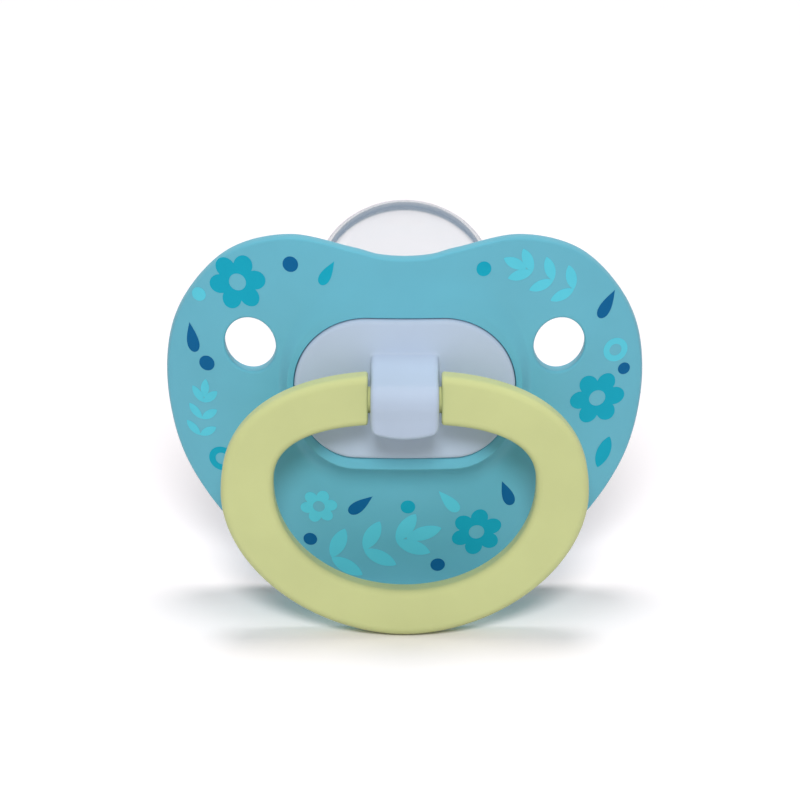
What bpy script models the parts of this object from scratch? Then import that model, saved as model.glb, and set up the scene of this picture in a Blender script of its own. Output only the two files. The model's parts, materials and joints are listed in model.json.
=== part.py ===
"""Orthodontic pacifier: a butterfly shield with two vents, a hollow silicone teat, the plug that
holds the teat, a button with a hinge lug, and an open ring that swings in the lug.

Lengths are in metres.  Every piece is modelled round the plug axis: +X is across the shield,
+Y runs back through the teat, +Z is up, and the front of the shield's dome is at Y = 0.
"""

import math

import bmesh
import bpy
import numpy as np
from mathutils import Vector

MM = 0.001
GAP = 0.3 * MM
SMOOTH_ANGLE = math.radians(38)
MERGE_DISTANCE = 0.01 * MM

# Shield: half of the butterfly outline in mm (x, z), from the top notch round to the bottom, where
# it runs level over the foot's half width
SHIELD_OUTLINE = (
    (0.0, 15.65),
    (3.3, 15.88),
    (6.5, 16.65),
    (14.0, 17.8),
    (21.2, 15.5),
    (26.4, 9.9),
    (29.0, 3.3),
    (29.1, -5.0),
    (26.6, -13.4),
    (20.4, -21.5),
    (11.0, -27.0),
    (0.0, -28.85),
)
SHIELD_THICKNESS = 2.2 * MM
DOME_RADIUS_X = 60.0 * MM
DOME_RADIUS_Z = 120.0 * MM
RIM_RADIUS = 1.1 * MM
SHIELD_FOOT = 3.4 * MM
OUTLINE_POINTS = 80
CURVE_STEPS = 24

# Raised boss round the button, low and soft above it, tall with a dished ledge and a hollow slope
# below it: (across, upright) widths of its ledge and of its slope
BOSS_TOP_HEIGHT = 0.6 * MM
BOSS_BOTTOM_HEIGHT = 1.9 * MM
BOSS_LEDGE = (0.75 * MM, 1.3 * MM)
BOSS_DISH = 0.3 * MM
BOSS_SLOPE = (1.2 * MM, 4.4 * MM)
BOSS_HOLLOW = 3.0

# Pocket for the button, and the hub round the teat's hole
POCKET_FLOOR = 0.5 * MM
POCKET_CHAMFER = 0.15 * MM
COUNTERBORE_RADIUS = 7.4 * MM
COUNTERBORE_FLOOR = 2.2 * MM
HOLE_RADIUS = 6.0 * MM
HUB_RADIUS = 9.2 * MM
HUB_FOOT_RADIUS = 12.0 * MM
HUB_BACK = 4.2 * MM
HUB_EDGE = 0.5 * MM

# Vents, moulded straight through along Y with rounded edges
VENT_HALF_WIDTH = 3.05 * MM
VENT_HALF_HEIGHT = 3.35 * MM
VENT_FILLET = 0.95 * MM
VENT_X = 18.9 * MM
VENT_Z = 3.9 * MM
VENT_CUT_MARGIN = 1.0 * MM
VENT_SIDES = 24

# Button: flat top and bottom edges with quarter-ellipse ends; its front heights are above the boss
BUTTON_HALF_WIDTH = 13.5 * MM
BUTTON_HALF_HEIGHT = 8.77 * MM
BUTTON_Z = -0.47 * MM
BUTTON_FLAT_TOP = 4.4 * MM
BUTTON_FLAT_BOTTOM = 6.1 * MM
BUTTON_CROWN = 0.95 * MM
BUTTON_RIM = 0.45 * MM
BUTTON_EDGE = 0.5 * MM
BUTTON_WALL = 1.3 * MM
BUTTON_BACK = POCKET_FLOOR - GAP
BUTTON_CEILING = -0.4 * MM
BUTTON_POINTS = 56
EDGE_STEPS = 60
PEG_RADIUS = 2.2 * MM
PEG_TIP = 6.4 * MM

# Hinge lug on the button: its brow, waist and lip as (y, z, radius) in mm, seen from the pivot
PIVOT_Y = -6.3 * MM
LUG_CORNERS = ((-4.9, 2.75, 2.0), (-4.0, -1.4, 0.9), (-4.15, -3.95, 0.7))
LUG_HALF_WIDTH = 4.13 * MM
LUG_ROOT = -1.2 * MM
LUG_ROOT_TOP = 4.2 * MM
LUG_ROOT_BOTTOM = -4.6 * MM
LUG_CORNER_STEPS = 5
LUG_BOW = 0.9 * MM
LUG_FILLET = 0.6 * MM
BORE_RADIUS = 1.9 * MM
BORE_SIDES = 24

# Ring: an open loop between two ovals, with a flat face and rounded edges; an oval's widest level
# lies below the pivot, and its halves have their own heights and fullness
RING_OUTER = {
    "half_width": 22.3 * MM,
    "level": 11.4 * MM,
    "above": 14.8 * MM,
    "below": 17.7 * MM,
    "upper_fullness": 2.4,
    "lower_fullness": 1.87,
}
RING_INNER = {
    "half_width": 15.9 * MM,
    "level": 10.3 * MM,
    "above": 7.55 * MM,
    "below": 13.15 * MM,
    "upper_fullness": 2.62,
    "lower_fullness": 2.03,
}
RING_THICKNESS = 4.1 * MM
RING_EDGE = 1.2 * MM
RING_END_X = 4.45 * MM
RING_END_EDGE = 0.35 * MM
RING_STATIONS = 26
RING_REST_ANGLE = math.radians(6.5)
STUB_RADIUS = 1.6 * MM
STUB_TIP_X = 1.2 * MM
STUB_ROOT_X = 7.0 * MM
STUB_SIDES = 20

# Teat: a flange in the counterbore, a round neck, and a flattened bulb that points upwards
TEAT_WALL = 1.0 * MM
TEAT_FLANGE_RADIUS = 7.0 * MM
TEAT_FLANGE_BACK = COUNTERBORE_FLOOR - GAP
TEAT_ROOT_RADIUS = HOLE_RADIUS - GAP
TEAT_NECK_RADIUS = 5.0 * MM
TEAT_NECK_LENGTH = 7.0 * MM
TEAT_BEND_START = 2.3 * MM
TEAT_BEND_LENGTH = 8.5 * MM
TEAT_BEND_ANGLE = math.radians(41.5)
TEAT_BULB_CENTRE = 17.55 * MM
TEAT_LENGTH = 28.55 * MM
TEAT_BULB_HALF_WIDTH = 11.2 * MM
TEAT_BULB_ABOVE = 7.2 * MM
TEAT_BULB_BELOW = 5.8 * MM
TEAT_POINTS = 28
TEAT_STATIONS = 20

# Retaining plug: a turned tube with a head that clamps the teat's flange
PLUG_HEAD_RADIUS = 6.4 * MM
PLUG_HEAD_FRONT = 0.0
PLUG_HEAD_BACK = TEAT_FLANGE_BACK - TEAT_WALL - GAP
PLUG_STEM_RADIUS = 4.1 * MM
PLUG_TIP_RADIUS = 3.4 * MM
PLUG_TIP = 7.0 * MM
PLUG_BORE_RADIUS = PEG_RADIUS + GAP
PLUG_EDGE = 0.25 * MM
TURNED_STEPS = 32

# The shield's lowest point and the ring's lowest point stand on the same floor
FLOOR_Z = SHIELD_OUTLINE[-1][1] * MM
RING_REACH = RING_OUTER["level"] + RING_OUTER["below"]
PIVOT_Z = (
    FLOOR_Z
    + (RING_REACH - RING_EDGE) * math.cos(RING_REST_ANGLE)
    + (RING_THICKNESS / 2 - RING_EDGE) * math.sin(RING_REST_ANGLE)
    + RING_EDGE
)


def clear_scene():
    for thing in list(bpy.data.objects):
        bpy.data.objects.remove(thing, do_unlink=True)


def new_collection(name):
    collection = bpy.data.collections.new(name)
    bpy.context.scene.collection.children.link(collection)
    return collection


def plastic(name, colour, roughness, transmission=0.0):
    material = bpy.data.materials.new(name)
    material.use_nodes = True
    shader = material.node_tree.nodes["Principled BSDF"]
    shader.inputs["Base Color"].default_value = (*colour, 1.0)
    shader.inputs["Roughness"].default_value = roughness
    shader.inputs["Metallic"].default_value = 0.0
    shader.inputs["Transmission Weight"].default_value = transmission
    return material


def add_object(name, mesh, collection, parent, material=None):
    thing = bpy.data.objects.new(name, mesh)
    collection.objects.link(thing)
    thing.parent = parent
    if material:
        mesh.materials.append(material)
        mesh.shade_smooth()
        mesh.set_sharp_from_angle(angle=SMOOTH_ANGLE)
    return thing


def add_helper(name, mesh, collection, parent):
    helper = add_object(name, mesh, collection, parent)
    helper.hide_render = True
    helper.display_type = "WIRE"
    return helper


def boolean(target, tool, operation):
    modifier = target.modifiers.new(f"{operation.lower()} {tool.name}", "BOOLEAN")
    modifier.operation = operation
    modifier.object = tool
    modifier.solver = "EXACT"


def loft(name, rings, closed=False, first_pole=None, last_pole=None):
    """A skin over rings of equal point counts; closed joins the last ring to the first, and a
    pole closes an end with a fan."""
    shape = bmesh.new()
    loops = [[shape.verts.new(point) for point in ring] for ring in rings]
    pairs = list(zip(loops, loops[1:]))
    if closed:
        pairs.append((loops[-1], loops[0]))
    count = len(loops[0])
    for near, far in pairs:
        for i in range(count):
            j = (i + 1) % count
            shape.faces.new((near[i], near[j], far[j], far[i]))
    for pole, loop in ((first_pole, loops[0]), (last_pole, loops[-1])):
        if pole is not None:
            tip = shape.verts.new(pole)
            for i in range(count):
                shape.faces.new((loop[i], loop[(i + 1) % count], tip))
    bmesh.ops.recalc_face_normals(shape, faces=shape.faces)
    mesh = bpy.data.meshes.new(name)
    shape.to_mesh(mesh)
    shape.free()
    return mesh


def mirrored_spline(half, steps):
    """A smooth closed curve through a half outline and its mirror image in X."""
    right = [np.array(point) for point in half]
    left = [np.array((-x, z)) for x, z in half[-2:0:-1]]
    knots = right + left
    count = len(knots)
    curve = []
    for i in range(count):
        before, start, end, after = (knots[(i + k) % count] for k in (-1, 0, 1, 2))
        for step in range(steps):
            t = step / steps
            curve.append(
                start
                + 0.5 * t * (end - before)
                + t * t * (before - 2.5 * start + 2 * end - 0.5 * after)
                + t * t * t * (1.5 * (start - end) + 0.5 * (after - before))
            )
    return np.array(curve)


def polar_radius(outline, angles):
    """Distance from the centre to a star-shaped closed outline, at each angle."""
    around = np.arctan2(outline[:, 1], outline[:, 0])
    order = np.argsort(around)
    reach = np.hypot(outline[:, 0], outline[:, 1])
    return np.interp(angles, around[order], reach[order], period=2 * math.pi)


def even_angles(outline, count):
    """Angles of points spaced evenly along an outline, with a flat side at its lowest point."""
    closed = np.vstack([outline, outline[:1]])
    run = np.concatenate([[0.0], np.cumsum(np.hypot(*np.diff(closed, axis=0).T))])
    lowest = run[np.argmin(outline[:, 1])]
    places = (lowest + (np.arange(count) + 0.5) / count * run[-1]) % run[-1]
    return np.arctan2(np.interp(places, run, closed[:, 1]), np.interp(places, run, closed[:, 0]))


def button_outline(across, upright):
    """The button's outline, grown sideways and upwards: straight edges and elliptic ends."""
    turn = np.linspace(0.0, math.pi / 2, EDGE_STEPS)
    height = BUTTON_HALF_HEIGHT + upright
    halves = []
    for flat in (BUTTON_FLAT_TOP, BUTTON_FLAT_BOTTOM):
        end_x = flat + (BUTTON_HALF_WIDTH - flat + across) * np.cos(turn)
        flat_x = np.linspace(flat, -flat, EDGE_STEPS)[1:-1]
        half_x = np.concatenate([end_x, flat_x, -end_x[::-1]])
        half_z = height * np.concatenate([np.sin(turn), np.ones_like(flat_x), np.sin(turn[::-1])])
        halves.append(np.column_stack([half_x, half_z]))
    upper, lower = halves
    return np.vstack([upper, -lower[1:-1]]) + (0.0, BUTTON_Z)


def dome(x, z):
    return x * x / (2 * DOME_RADIUS_X) + z * z / (2 * DOME_RADIUS_Z)


def behind(offset):
    """A depth that follows the dome at a distance behind it."""
    return lambda x, z: dome(x, z) + offset


def lowness(z):
    """0 along the top edge of the boss and 1 along its bottom edge."""
    reach = BUTTON_HALF_HEIGHT + BOSS_LEDGE[1]
    return np.clip(0.5 - (z - BUTTON_Z) / (2 * reach), 0.0, 1.0)


def boss_height(z):
    return BOSS_TOP_HEIGHT + (BOSS_BOTTOM_HEIGHT - BOSS_TOP_HEIGHT) * lowness(z)


def before_boss(offset, dish=0.0):
    """A depth that follows the boss's edge at a distance in front of it, less a share of its dish."""
    return lambda x, z: dome(x, z) - boss_height(z) + dish * BOSS_DISH * lowness(z) - offset


def boss_slope(share):
    """Depth of the boss's slope: an even curve above the button, crisp and hollow below it."""
    even = 1 - share * share * (3 - 2 * share)
    hollow = (1 - share) ** BOSS_HOLLOW

    def depth(x, z):
        low = lowness(z)
        return dome(x, z) - boss_height(z) * (even + low * (hollow - even))

    return depth


def polar_ring(angles, radius, depth):
    """Points at a radius for each angle; depth is a number or a function of x and z."""
    x = radius * np.cos(angles)
    z = radius * np.sin(angles)
    y = depth(x, z) if callable(depth) else np.full_like(x, depth)
    return [Vector(point) for point in np.column_stack([x, y, z])]


def shield_mesh():
    """One closed skin: up the pocket, over the boss and dome, round the rim and back to the hub."""
    outline = mirrored_spline(SHIELD_OUTLINE, CURVE_STEPS) * MM
    angles = even_angles(outline, OUTLINE_POINTS)
    edge = polar_radius(outline, angles)
    foot = (np.sin(angles) < 0) & (np.abs(edge * np.cos(angles)) < SHIELD_FOOT)
    edge[foot] = FLOOR_Z / np.sin(angles[foot])

    def circle(radius):
        return np.full_like(angles, radius)

    def near_button(ledge, slope):
        across, upright = (GAP + ledge * BOSS_LEDGE[i] + slope * BOSS_SLOPE[i] for i in (0, 1))
        return polar_radius(button_outline(across, upright), angles)

    pocket = near_button(0, 0)
    skin = [
        (circle(HOLE_RADIUS), COUNTERBORE_FLOOR),
        (circle(COUNTERBORE_RADIUS), COUNTERBORE_FLOOR),
        (circle(COUNTERBORE_RADIUS), behind(POCKET_FLOOR)),
        (pocket, behind(POCKET_FLOOR)),
        (pocket, before_boss(-POCKET_CHAMFER, dish=1)),
        (near_button(0.2, 0), before_boss(0.0, dish=0.8)),
    ]
    for share in (0.0, 0.12, 0.3, 0.6, 1.0):
        skin.append((near_button(1, share), boss_slope(share)))
    foot = near_button(1, 1)
    rim = edge - RIM_RADIUS
    for share in (0.3, 0.65, 1.0):
        skin.append((foot + share * (rim - foot), dome))
    for turn in (45, 90, 135):
        inset = RIM_RADIUS * (1 - math.sin(math.radians(turn)))
        drop = RIM_RADIUS * (1 - math.cos(math.radians(turn)))
        skin.append((edge - inset, behind(drop)))
    for share in (1.0, 0.65, 0.3):
        skin.append((HUB_FOOT_RADIUS + share * (rim - HUB_FOOT_RADIUS), behind(SHIELD_THICKNESS)))
    skin += [
        (circle(HUB_FOOT_RADIUS), behind(SHIELD_THICKNESS)),
        (circle(HUB_RADIUS + HUB_EDGE), HUB_BACK - HUB_EDGE),
        (circle(HUB_RADIUS), HUB_BACK),
        (circle(HOLE_RADIUS + HUB_EDGE), HUB_BACK),
        (circle(HOLE_RADIUS), HUB_BACK - HUB_EDGE),
    ]
    return loft("shield", [polar_ring(angles, radius, depth) for radius, depth in skin], closed=True)


def vent_cutter_mesh(side):
    """A throat along Y whose mouths flare to follow the dome in front and behind."""
    turns = [math.radians(degrees) for degrees in (0, 30, 60, 90)]
    flare = [(VENT_FILLET * (1 - math.sin(t)), VENT_FILLET * (1 - math.cos(t))) for t in turns]
    front = [(VENT_FILLET, -VENT_CUT_MARGIN)] + flare
    back = [(grow, SHIELD_THICKNESS - drop) for grow, drop in reversed(front)]
    around = np.linspace(0.0, 2 * math.pi, VENT_SIDES, endpoint=False)
    rings = []
    for grow, drop in front + back:
        x = side * VENT_X + (VENT_HALF_WIDTH + grow) * np.cos(around)
        z = VENT_Z + (VENT_HALF_HEIGHT + grow) * np.sin(around)
        rings.append([Vector(point) for point in np.column_stack([x, dome(x, z) + drop, z])])
    ends = [sum(ring, Vector()) / len(ring) for ring in (rings[0], rings[-1])]
    return loft("vent_cutter", rings, first_pole=ends[0], last_pole=ends[1])


def teat_centre(run):
    """Middle of the teat at a distance along it, and its upward slope there."""
    turned = min(max(run - TEAT_BEND_START, 0.0), TEAT_BEND_LENGTH)
    slope = TEAT_BEND_ANGLE * turned / TEAT_BEND_LENGTH
    radius = TEAT_BEND_LENGTH / TEAT_BEND_ANGLE
    straight = max(run - TEAT_BEND_START - TEAT_BEND_LENGTH, 0.0)
    y = min(run, TEAT_BEND_START) + radius * math.sin(slope) + straight * math.cos(slope)
    z = radius * (1 - math.cos(slope)) + straight * math.sin(slope)
    return TEAT_FLANGE_BACK + y, z, slope


def teat_half_size(run, bulb):
    """Half size of the teat across one direction: tapered neck, swelling bulb, elliptic tip."""
    if run >= TEAT_BULB_CENTRE:
        share = (run - TEAT_BULB_CENTRE) / (TEAT_LENGTH - TEAT_BULB_CENTRE)
        return bulb * math.sqrt(max(1 - share * share, 0.0))
    if run <= TEAT_NECK_LENGTH:
        return TEAT_ROOT_RADIUS + (TEAT_NECK_RADIUS - TEAT_ROOT_RADIUS) * run / TEAT_NECK_LENGTH
    share = (run - TEAT_NECK_LENGTH) / (TEAT_BULB_CENTRE - TEAT_NECK_LENGTH)
    return TEAT_NECK_RADIUS + (bulb - TEAT_NECK_RADIUS) * math.sin(share * math.pi / 2) ** 2


def teat_mesh():
    """The teat's outer skin, open at the flange, to be thickened inwards."""
    around = np.linspace(0.0, 2 * math.pi, TEAT_POINTS, endpoint=False)
    rings = [polar_ring(around, TEAT_FLANGE_RADIUS, TEAT_FLANGE_BACK)]
    runs = [TEAT_LENGTH * math.sin(k / TEAT_STATIONS * math.pi / 2) for k in range(TEAT_STATIONS)]
    for run in runs:
        y, z, slope = teat_centre(run)
        width = teat_half_size(run, TEAT_BULB_HALF_WIDTH)
        above = teat_half_size(run, TEAT_BULB_ABOVE)
        below = teat_half_size(run, TEAT_BULB_BELOW)
        ring = []
        for angle in around:
            lift = math.sin(angle) * (above if angle < math.pi else below)
            ring.append(
                Vector((width * math.cos(angle), y - lift * math.sin(slope), z + lift * math.cos(slope)))
            )
        rings.append(ring)
    tip_y, tip_z, _ = teat_centre(TEAT_LENGTH)
    return loft("teat", rings, last_pole=Vector((0.0, tip_y, tip_z)))


def turned_mesh(name, profile):
    """A closed profile of (radius, height) points, ready for a Screw modifier about Z."""
    mesh = bpy.data.meshes.new(name)
    edges = [(i, (i + 1) % len(profile)) for i in range(len(profile))]
    mesh.from_pydata([(radius, 0.0, height) for radius, height in profile], edges, [])
    return mesh


def plug_profile():
    """Down the outer side from the tip at the back to the head at the front, and up the bore."""
    return [
        (PLUG_TIP_RADIUS - PLUG_EDGE, PLUG_TIP),
        (PLUG_TIP_RADIUS, PLUG_TIP - PLUG_EDGE),
        (PLUG_STEM_RADIUS, PLUG_HEAD_BACK + 3 * PLUG_EDGE),
        (PLUG_STEM_RADIUS, PLUG_HEAD_BACK),
        (PLUG_HEAD_RADIUS, PLUG_HEAD_BACK),
        (PLUG_HEAD_RADIUS, PLUG_HEAD_FRONT + PLUG_EDGE),
        (PLUG_HEAD_RADIUS - PLUG_EDGE, PLUG_HEAD_FRONT),
        (PLUG_BORE_RADIUS + PLUG_EDGE, PLUG_HEAD_FRONT),
        (PLUG_BORE_RADIUS, PLUG_HEAD_FRONT + PLUG_EDGE),
        (PLUG_BORE_RADIUS, PLUG_TIP),
    ]


def add_screw(thing):
    screw = thing.modifiers.new("turned", "SCREW")
    screw.axis = "Z"
    screw.steps = TURNED_STEPS
    screw.render_steps = TURNED_STEPS
    screw.use_merge_vertices = True
    screw.merge_threshold = MERGE_DISTANCE


def button_mesh():
    """The cap from its crowned front, over the rim, up inside and down the peg to its tip."""
    angles = even_angles(button_outline(0.0, 0.0), BUTTON_POINTS)

    def outline(offset):
        return polar_radius(button_outline(offset, offset), angles)

    face = outline(-BUTTON_EDGE)
    inside = outline(-BUTTON_WALL)
    peg = np.full_like(angles, PEG_RADIUS)
    crown = BUTTON_CROWN - BUTTON_RIM
    skin = [(face * s, before_boss(BUTTON_CROWN - crown * s * s)) for s in (0.25, 0.5, 0.75, 1.0)]
    skin += [
        (outline(-0.3 * BUTTON_EDGE), before_boss(BUTTON_RIM - 0.3 * BUTTON_EDGE)),
        (outline(0.0), before_boss(BUTTON_RIM - BUTTON_EDGE)),
        (outline(0.0), behind(BUTTON_BACK)),
        (inside, behind(BUTTON_BACK)),
        (inside, behind(BUTTON_CEILING)),
        (np.full_like(angles, PLUG_HEAD_RADIUS + BUTTON_EDGE), BUTTON_CEILING),
        (peg, BUTTON_CEILING),
        (peg, PEG_TIP - BUTTON_EDGE),
        (peg - BUTTON_EDGE, PEG_TIP),
    ]
    rings = [polar_ring(angles, radius, depth) for radius, depth in skin]
    front = Vector((0.0, before_boss(BUTTON_CROWN)(0.0, 0.0), 0.0))
    return loft("button", rings, first_pole=front, last_pole=Vector((0.0, PEG_TIP, 0.0)))


def rounded_corner(before, corner, after, radius, steps):
    """Points of an arc that replaces a corner of a profile."""
    into = (before - corner) / np.linalg.norm(before - corner)
    out = (after - corner) / np.linalg.norm(after - corner)
    half = math.acos(float(into @ out)) / 2
    centre = corner + (into + out) / np.linalg.norm(into + out) * radius / math.sin(half)
    start = corner + into * radius / math.tan(half) - centre
    end = corner + out * radius / math.tan(half) - centre
    chord = [start * (1 - t) + end * t for t in np.linspace(0.0, 1.0, steps)]
    return [centre + point / np.linalg.norm(point) * radius for point in chord]


def lug_profile():
    """The lug's outline in (y, z) from the pivot: down its brow to its waist and lip."""
    root = LUG_ROOT - PIVOT_Y
    top = np.array((root, LUG_ROOT_TOP))
    bottom = np.array((root, LUG_ROOT_BOTTOM))
    path = [top, *(np.array((y, z)) * MM for y, z, _ in LUG_CORNERS), bottom]
    profile = [top]
    for i, (_, _, radius) in enumerate(LUG_CORNERS):
        profile += rounded_corner(*path[i : i + 3], radius * MM, LUG_CORNER_STEPS)
    return profile + [bottom]


def lug_mesh():
    """The profile along X, with rounded edges at both ends and a bowed lower edge."""
    turns = [math.radians(degrees) for degrees in (0, 45, 90)]
    reach = LUG_HALF_WIDTH - LUG_FILLET
    right = [(reach * share, 0.0) for share in (0.0, 0.4, 0.75)]
    right += [(reach + LUG_FILLET * math.sin(t), LUG_FILLET * (1 - math.cos(t))) for t in turns]
    stations = [(-x, inset) for x, inset in reversed(right[1:])] + right
    rings = []
    for x, inset in stations:
        shrink = 1 - inset / LUG_ROOT_TOP
        raised = LUG_BOW * (x / LUG_HALF_WIDTH) ** 2
        ring = []
        for y, z in lug_profile():
            low = min(max(z / LUG_ROOT_BOTTOM, 0.0), 1.0)
            ring.append(Vector((x, PIVOT_Y + y * shrink, PIVOT_Z + z * shrink + raised * low)))
        rings.append(ring)
    ends = [sum(ring, Vector()) / len(ring) for ring in (rings[0], rings[-1])]
    return loft("hinge_lug", rings, first_pole=ends[0], last_pole=ends[1])


def cylinder_mesh(name, radius, length, sides):
    shape = bmesh.new()
    bmesh.ops.create_cone(
        shape, cap_ends=True, segments=sides, radius1=radius, radius2=radius, depth=length
    )
    mesh = bpy.data.meshes.new(name)
    shape.to_mesh(mesh)
    shape.free()
    return mesh


def oval_point(oval, turn):
    """A point on one of the ring's ovals; the turn is -90 degrees at the bottom."""
    upper = turn > 0
    power = 2 / oval["upper_fullness" if upper else "lower_fullness"]
    rise = abs(math.sin(turn)) ** power
    x = oval["half_width"] * abs(math.cos(turn)) ** power
    z = oval["above"] * rise if upper else -oval["below"] * rise
    return Vector((x, 0.0, z - oval["level"]))


def oval_end(oval):
    share = (RING_END_X + RING_END_EDGE) / oval["half_width"]
    return math.acos(share ** (oval["upper_fullness"] / 2))


def rounded_section(inner, outer, inset):
    """A rounded rectangle from the inner to the outer oval, flat in front and behind."""
    middle = (inner + outer) / 2
    across = (outer - inner).normalized()
    half = (outer - inner).length / 2 - RING_EDGE
    deep = RING_THICKNESS / 2 - RING_EDGE
    radius = RING_EDGE - inset
    section = []
    for corner in range(4):
        side = 1 if corner in (0, 3) else -1
        face = 1 if corner in (0, 1) else -1
        for step in range(4):
            turn = math.radians(90 * corner + 30 * step)
            along = side * half + radius * math.cos(turn)
            depth = face * deep + radius * math.sin(turn)
            section.append(middle + across * along + Vector((0.0, depth, 0.0)))
    return section


def ring_mesh():
    """The open ring in its own frame: the pivot at the origin, the loop hanging along -Z to a
    level foot between the first stations."""
    low = -math.pi / 2
    half = []
    for k in range(RING_STATIONS):
        share = (k + 1) / RING_STATIONS
        inner = oval_point(RING_INNER, low + share * (oval_end(RING_INNER) - low))
        outer = oval_point(RING_OUTER, low + share * (oval_end(RING_OUTER) - low))
        half.append((inner, outer, 0.0))
    half[0][1].z = -RING_REACH
    inner, outer, _ = half[-1]
    for shift, inset in ((0.7, 0.3), (1.0, 1.0)):
        step = Vector((-shift * RING_END_EDGE, 0.0, 0.0))
        half.append((inner + step, outer + step, inset * RING_END_EDGE))
    right = [rounded_section(*station) for station in half]
    left = [[Vector((-point.x, point.y, point.z)) for point in section] for section in right]
    rings = left[::-1] + right
    ends = [sum(section, Vector()) / len(section) for section in (rings[0], rings[-1])]
    return loft("ring_handle", rings, first_pole=ends[0], last_pole=ends[1])


def stand_on_floor(parts, frame):
    """Moves the whole object so that it stands on Z = 0, centred over the origin."""
    bpy.context.view_layer.update()
    graph = bpy.context.evaluated_depsgraph_get()
    corners = []
    for part in parts:
        solid = part.evaluated_get(graph)
        corners += [solid.matrix_world @ vertex.co for vertex in solid.data.vertices]
    places = np.array([tuple(corner) for corner in corners])
    low = places.min(axis=0)
    high = places.max(axis=0)
    frame.location = (0.0, -(low[1] + high[1]) / 2, -low[2])


def build():
    clear_scene()
    parts = new_collection("pacifier")
    tools = new_collection("cutters")
    frame = bpy.data.objects.new("plug_axis", None)
    parts.objects.link(frame)
    hinge = bpy.data.objects.new("ring_hinge", None)
    parts.objects.link(hinge)
    hinge.parent = frame
    hinge.location = (0.0, PIVOT_Y, PIVOT_Z)

    teal = plastic("teal_plastic", (0.13, 0.45, 0.57), 0.35)
    clear = plastic("clear_silicone", (0.92, 0.95, 0.97), 0.15, transmission=0.9)
    white = plastic("white_plastic", (0.80, 0.82, 0.83), 0.40)
    pale_blue = plastic("pale_blue_plastic", (0.48, 0.58, 0.73), 0.35)
    yellow_green = plastic("yellow_green_plastic", (0.58, 0.62, 0.29), 0.40)

    shield = add_object("shield", shield_mesh(), parts, frame, teal)
    for name, side in (("left", -1), ("right", 1)):
        vent = add_helper(f"vent_cutter_{name}", vent_cutter_mesh(side), tools, frame)
        boolean(shield, vent, "DIFFERENCE")

    teat = add_object("teat", teat_mesh(), parts, frame, clear)
    wall = teat.modifiers.new("wall", "SOLIDIFY")
    wall.thickness = TEAT_WALL
    wall.offset = -1.0
    wall.use_even_offset = True

    plug_mesh = turned_mesh("retaining_plug", plug_profile())
    plug = add_object("retaining_plug", plug_mesh, parts, frame, white)
    plug.rotation_euler.x = -math.pi / 2
    add_screw(plug)

    button = add_object("button", button_mesh(), parts, frame, pale_blue)
    lug = add_helper("hinge_lug", lug_mesh(), tools, frame)
    boolean(button, lug, "UNION")
    bore_mesh = cylinder_mesh("bore_cutter", BORE_RADIUS, 3 * LUG_HALF_WIDTH, BORE_SIDES)
    bore = add_helper("bore_cutter", bore_mesh, tools, frame)
    bore.location = (0.0, PIVOT_Y, PIVOT_Z)
    bore.rotation_euler.y = math.pi / 2
    boolean(button, bore, "DIFFERENCE")

    ring = add_object("ring_handle", ring_mesh(), parts, hinge, yellow_green)
    ring.rotation_euler.x = -RING_REST_ANGLE
    for name, side in (("left", -1), ("right", 1)):
        stub_mesh = cylinder_mesh("stub", STUB_RADIUS, STUB_ROOT_X - STUB_TIP_X, STUB_SIDES)
        stub = add_helper(f"stub_{name}", stub_mesh, tools, ring)
        stub.location.x = side * (STUB_ROOT_X + STUB_TIP_X) / 2
        stub.rotation_euler.y = math.pi / 2
        boolean(ring, stub, "UNION")

    stand_on_floor((shield, teat, plug, button, ring), frame)


build()
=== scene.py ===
"""Looks of the pacifier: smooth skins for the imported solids, their finishes, a small print on the
shield, and a white studio.

Lengths are in metres.  Every piece is modelled round the plug axis, as the solids are: +X is across
the shield, +Y runs back through the teat, +Z is up, and the front of the shield's dome is at Y = 0.
"""

import json
import math

import bmesh
import bpy
import numpy as np
from mathutils import Matrix, Vector


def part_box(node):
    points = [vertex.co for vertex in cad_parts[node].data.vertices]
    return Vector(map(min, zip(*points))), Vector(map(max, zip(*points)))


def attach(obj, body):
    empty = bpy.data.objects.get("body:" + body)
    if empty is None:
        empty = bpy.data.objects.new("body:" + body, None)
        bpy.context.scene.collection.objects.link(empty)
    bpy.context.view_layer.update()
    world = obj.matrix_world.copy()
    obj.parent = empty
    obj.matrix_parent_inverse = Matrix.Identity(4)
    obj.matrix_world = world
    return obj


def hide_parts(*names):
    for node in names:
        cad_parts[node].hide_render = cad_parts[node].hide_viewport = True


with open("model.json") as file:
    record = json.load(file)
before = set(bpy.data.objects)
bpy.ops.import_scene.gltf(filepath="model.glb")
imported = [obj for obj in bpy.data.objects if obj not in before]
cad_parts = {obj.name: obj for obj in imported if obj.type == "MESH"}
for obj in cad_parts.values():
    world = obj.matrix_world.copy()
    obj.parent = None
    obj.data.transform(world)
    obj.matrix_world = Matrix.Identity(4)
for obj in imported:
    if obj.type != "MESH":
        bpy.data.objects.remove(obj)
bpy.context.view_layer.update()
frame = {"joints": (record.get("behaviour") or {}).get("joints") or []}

MM = 0.001
GAP = 0.3 * MM
PARTING = 0.1 * MM

# Places read from the frame: the plug axis, and the ring's hinge relative to it
PLUG_LOW, PLUG_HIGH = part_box("retaining_plug")
PLUG_MIDDLE = (PLUG_LOW + PLUG_HIGH) / 2
AXIS = Vector((PLUG_MIDDLE.x, PLUG_LOW.y, PLUG_MIDDLE.z))
PIVOT = Vector(frame["joints"][0]["pos_m"]) - AXIS

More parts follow.
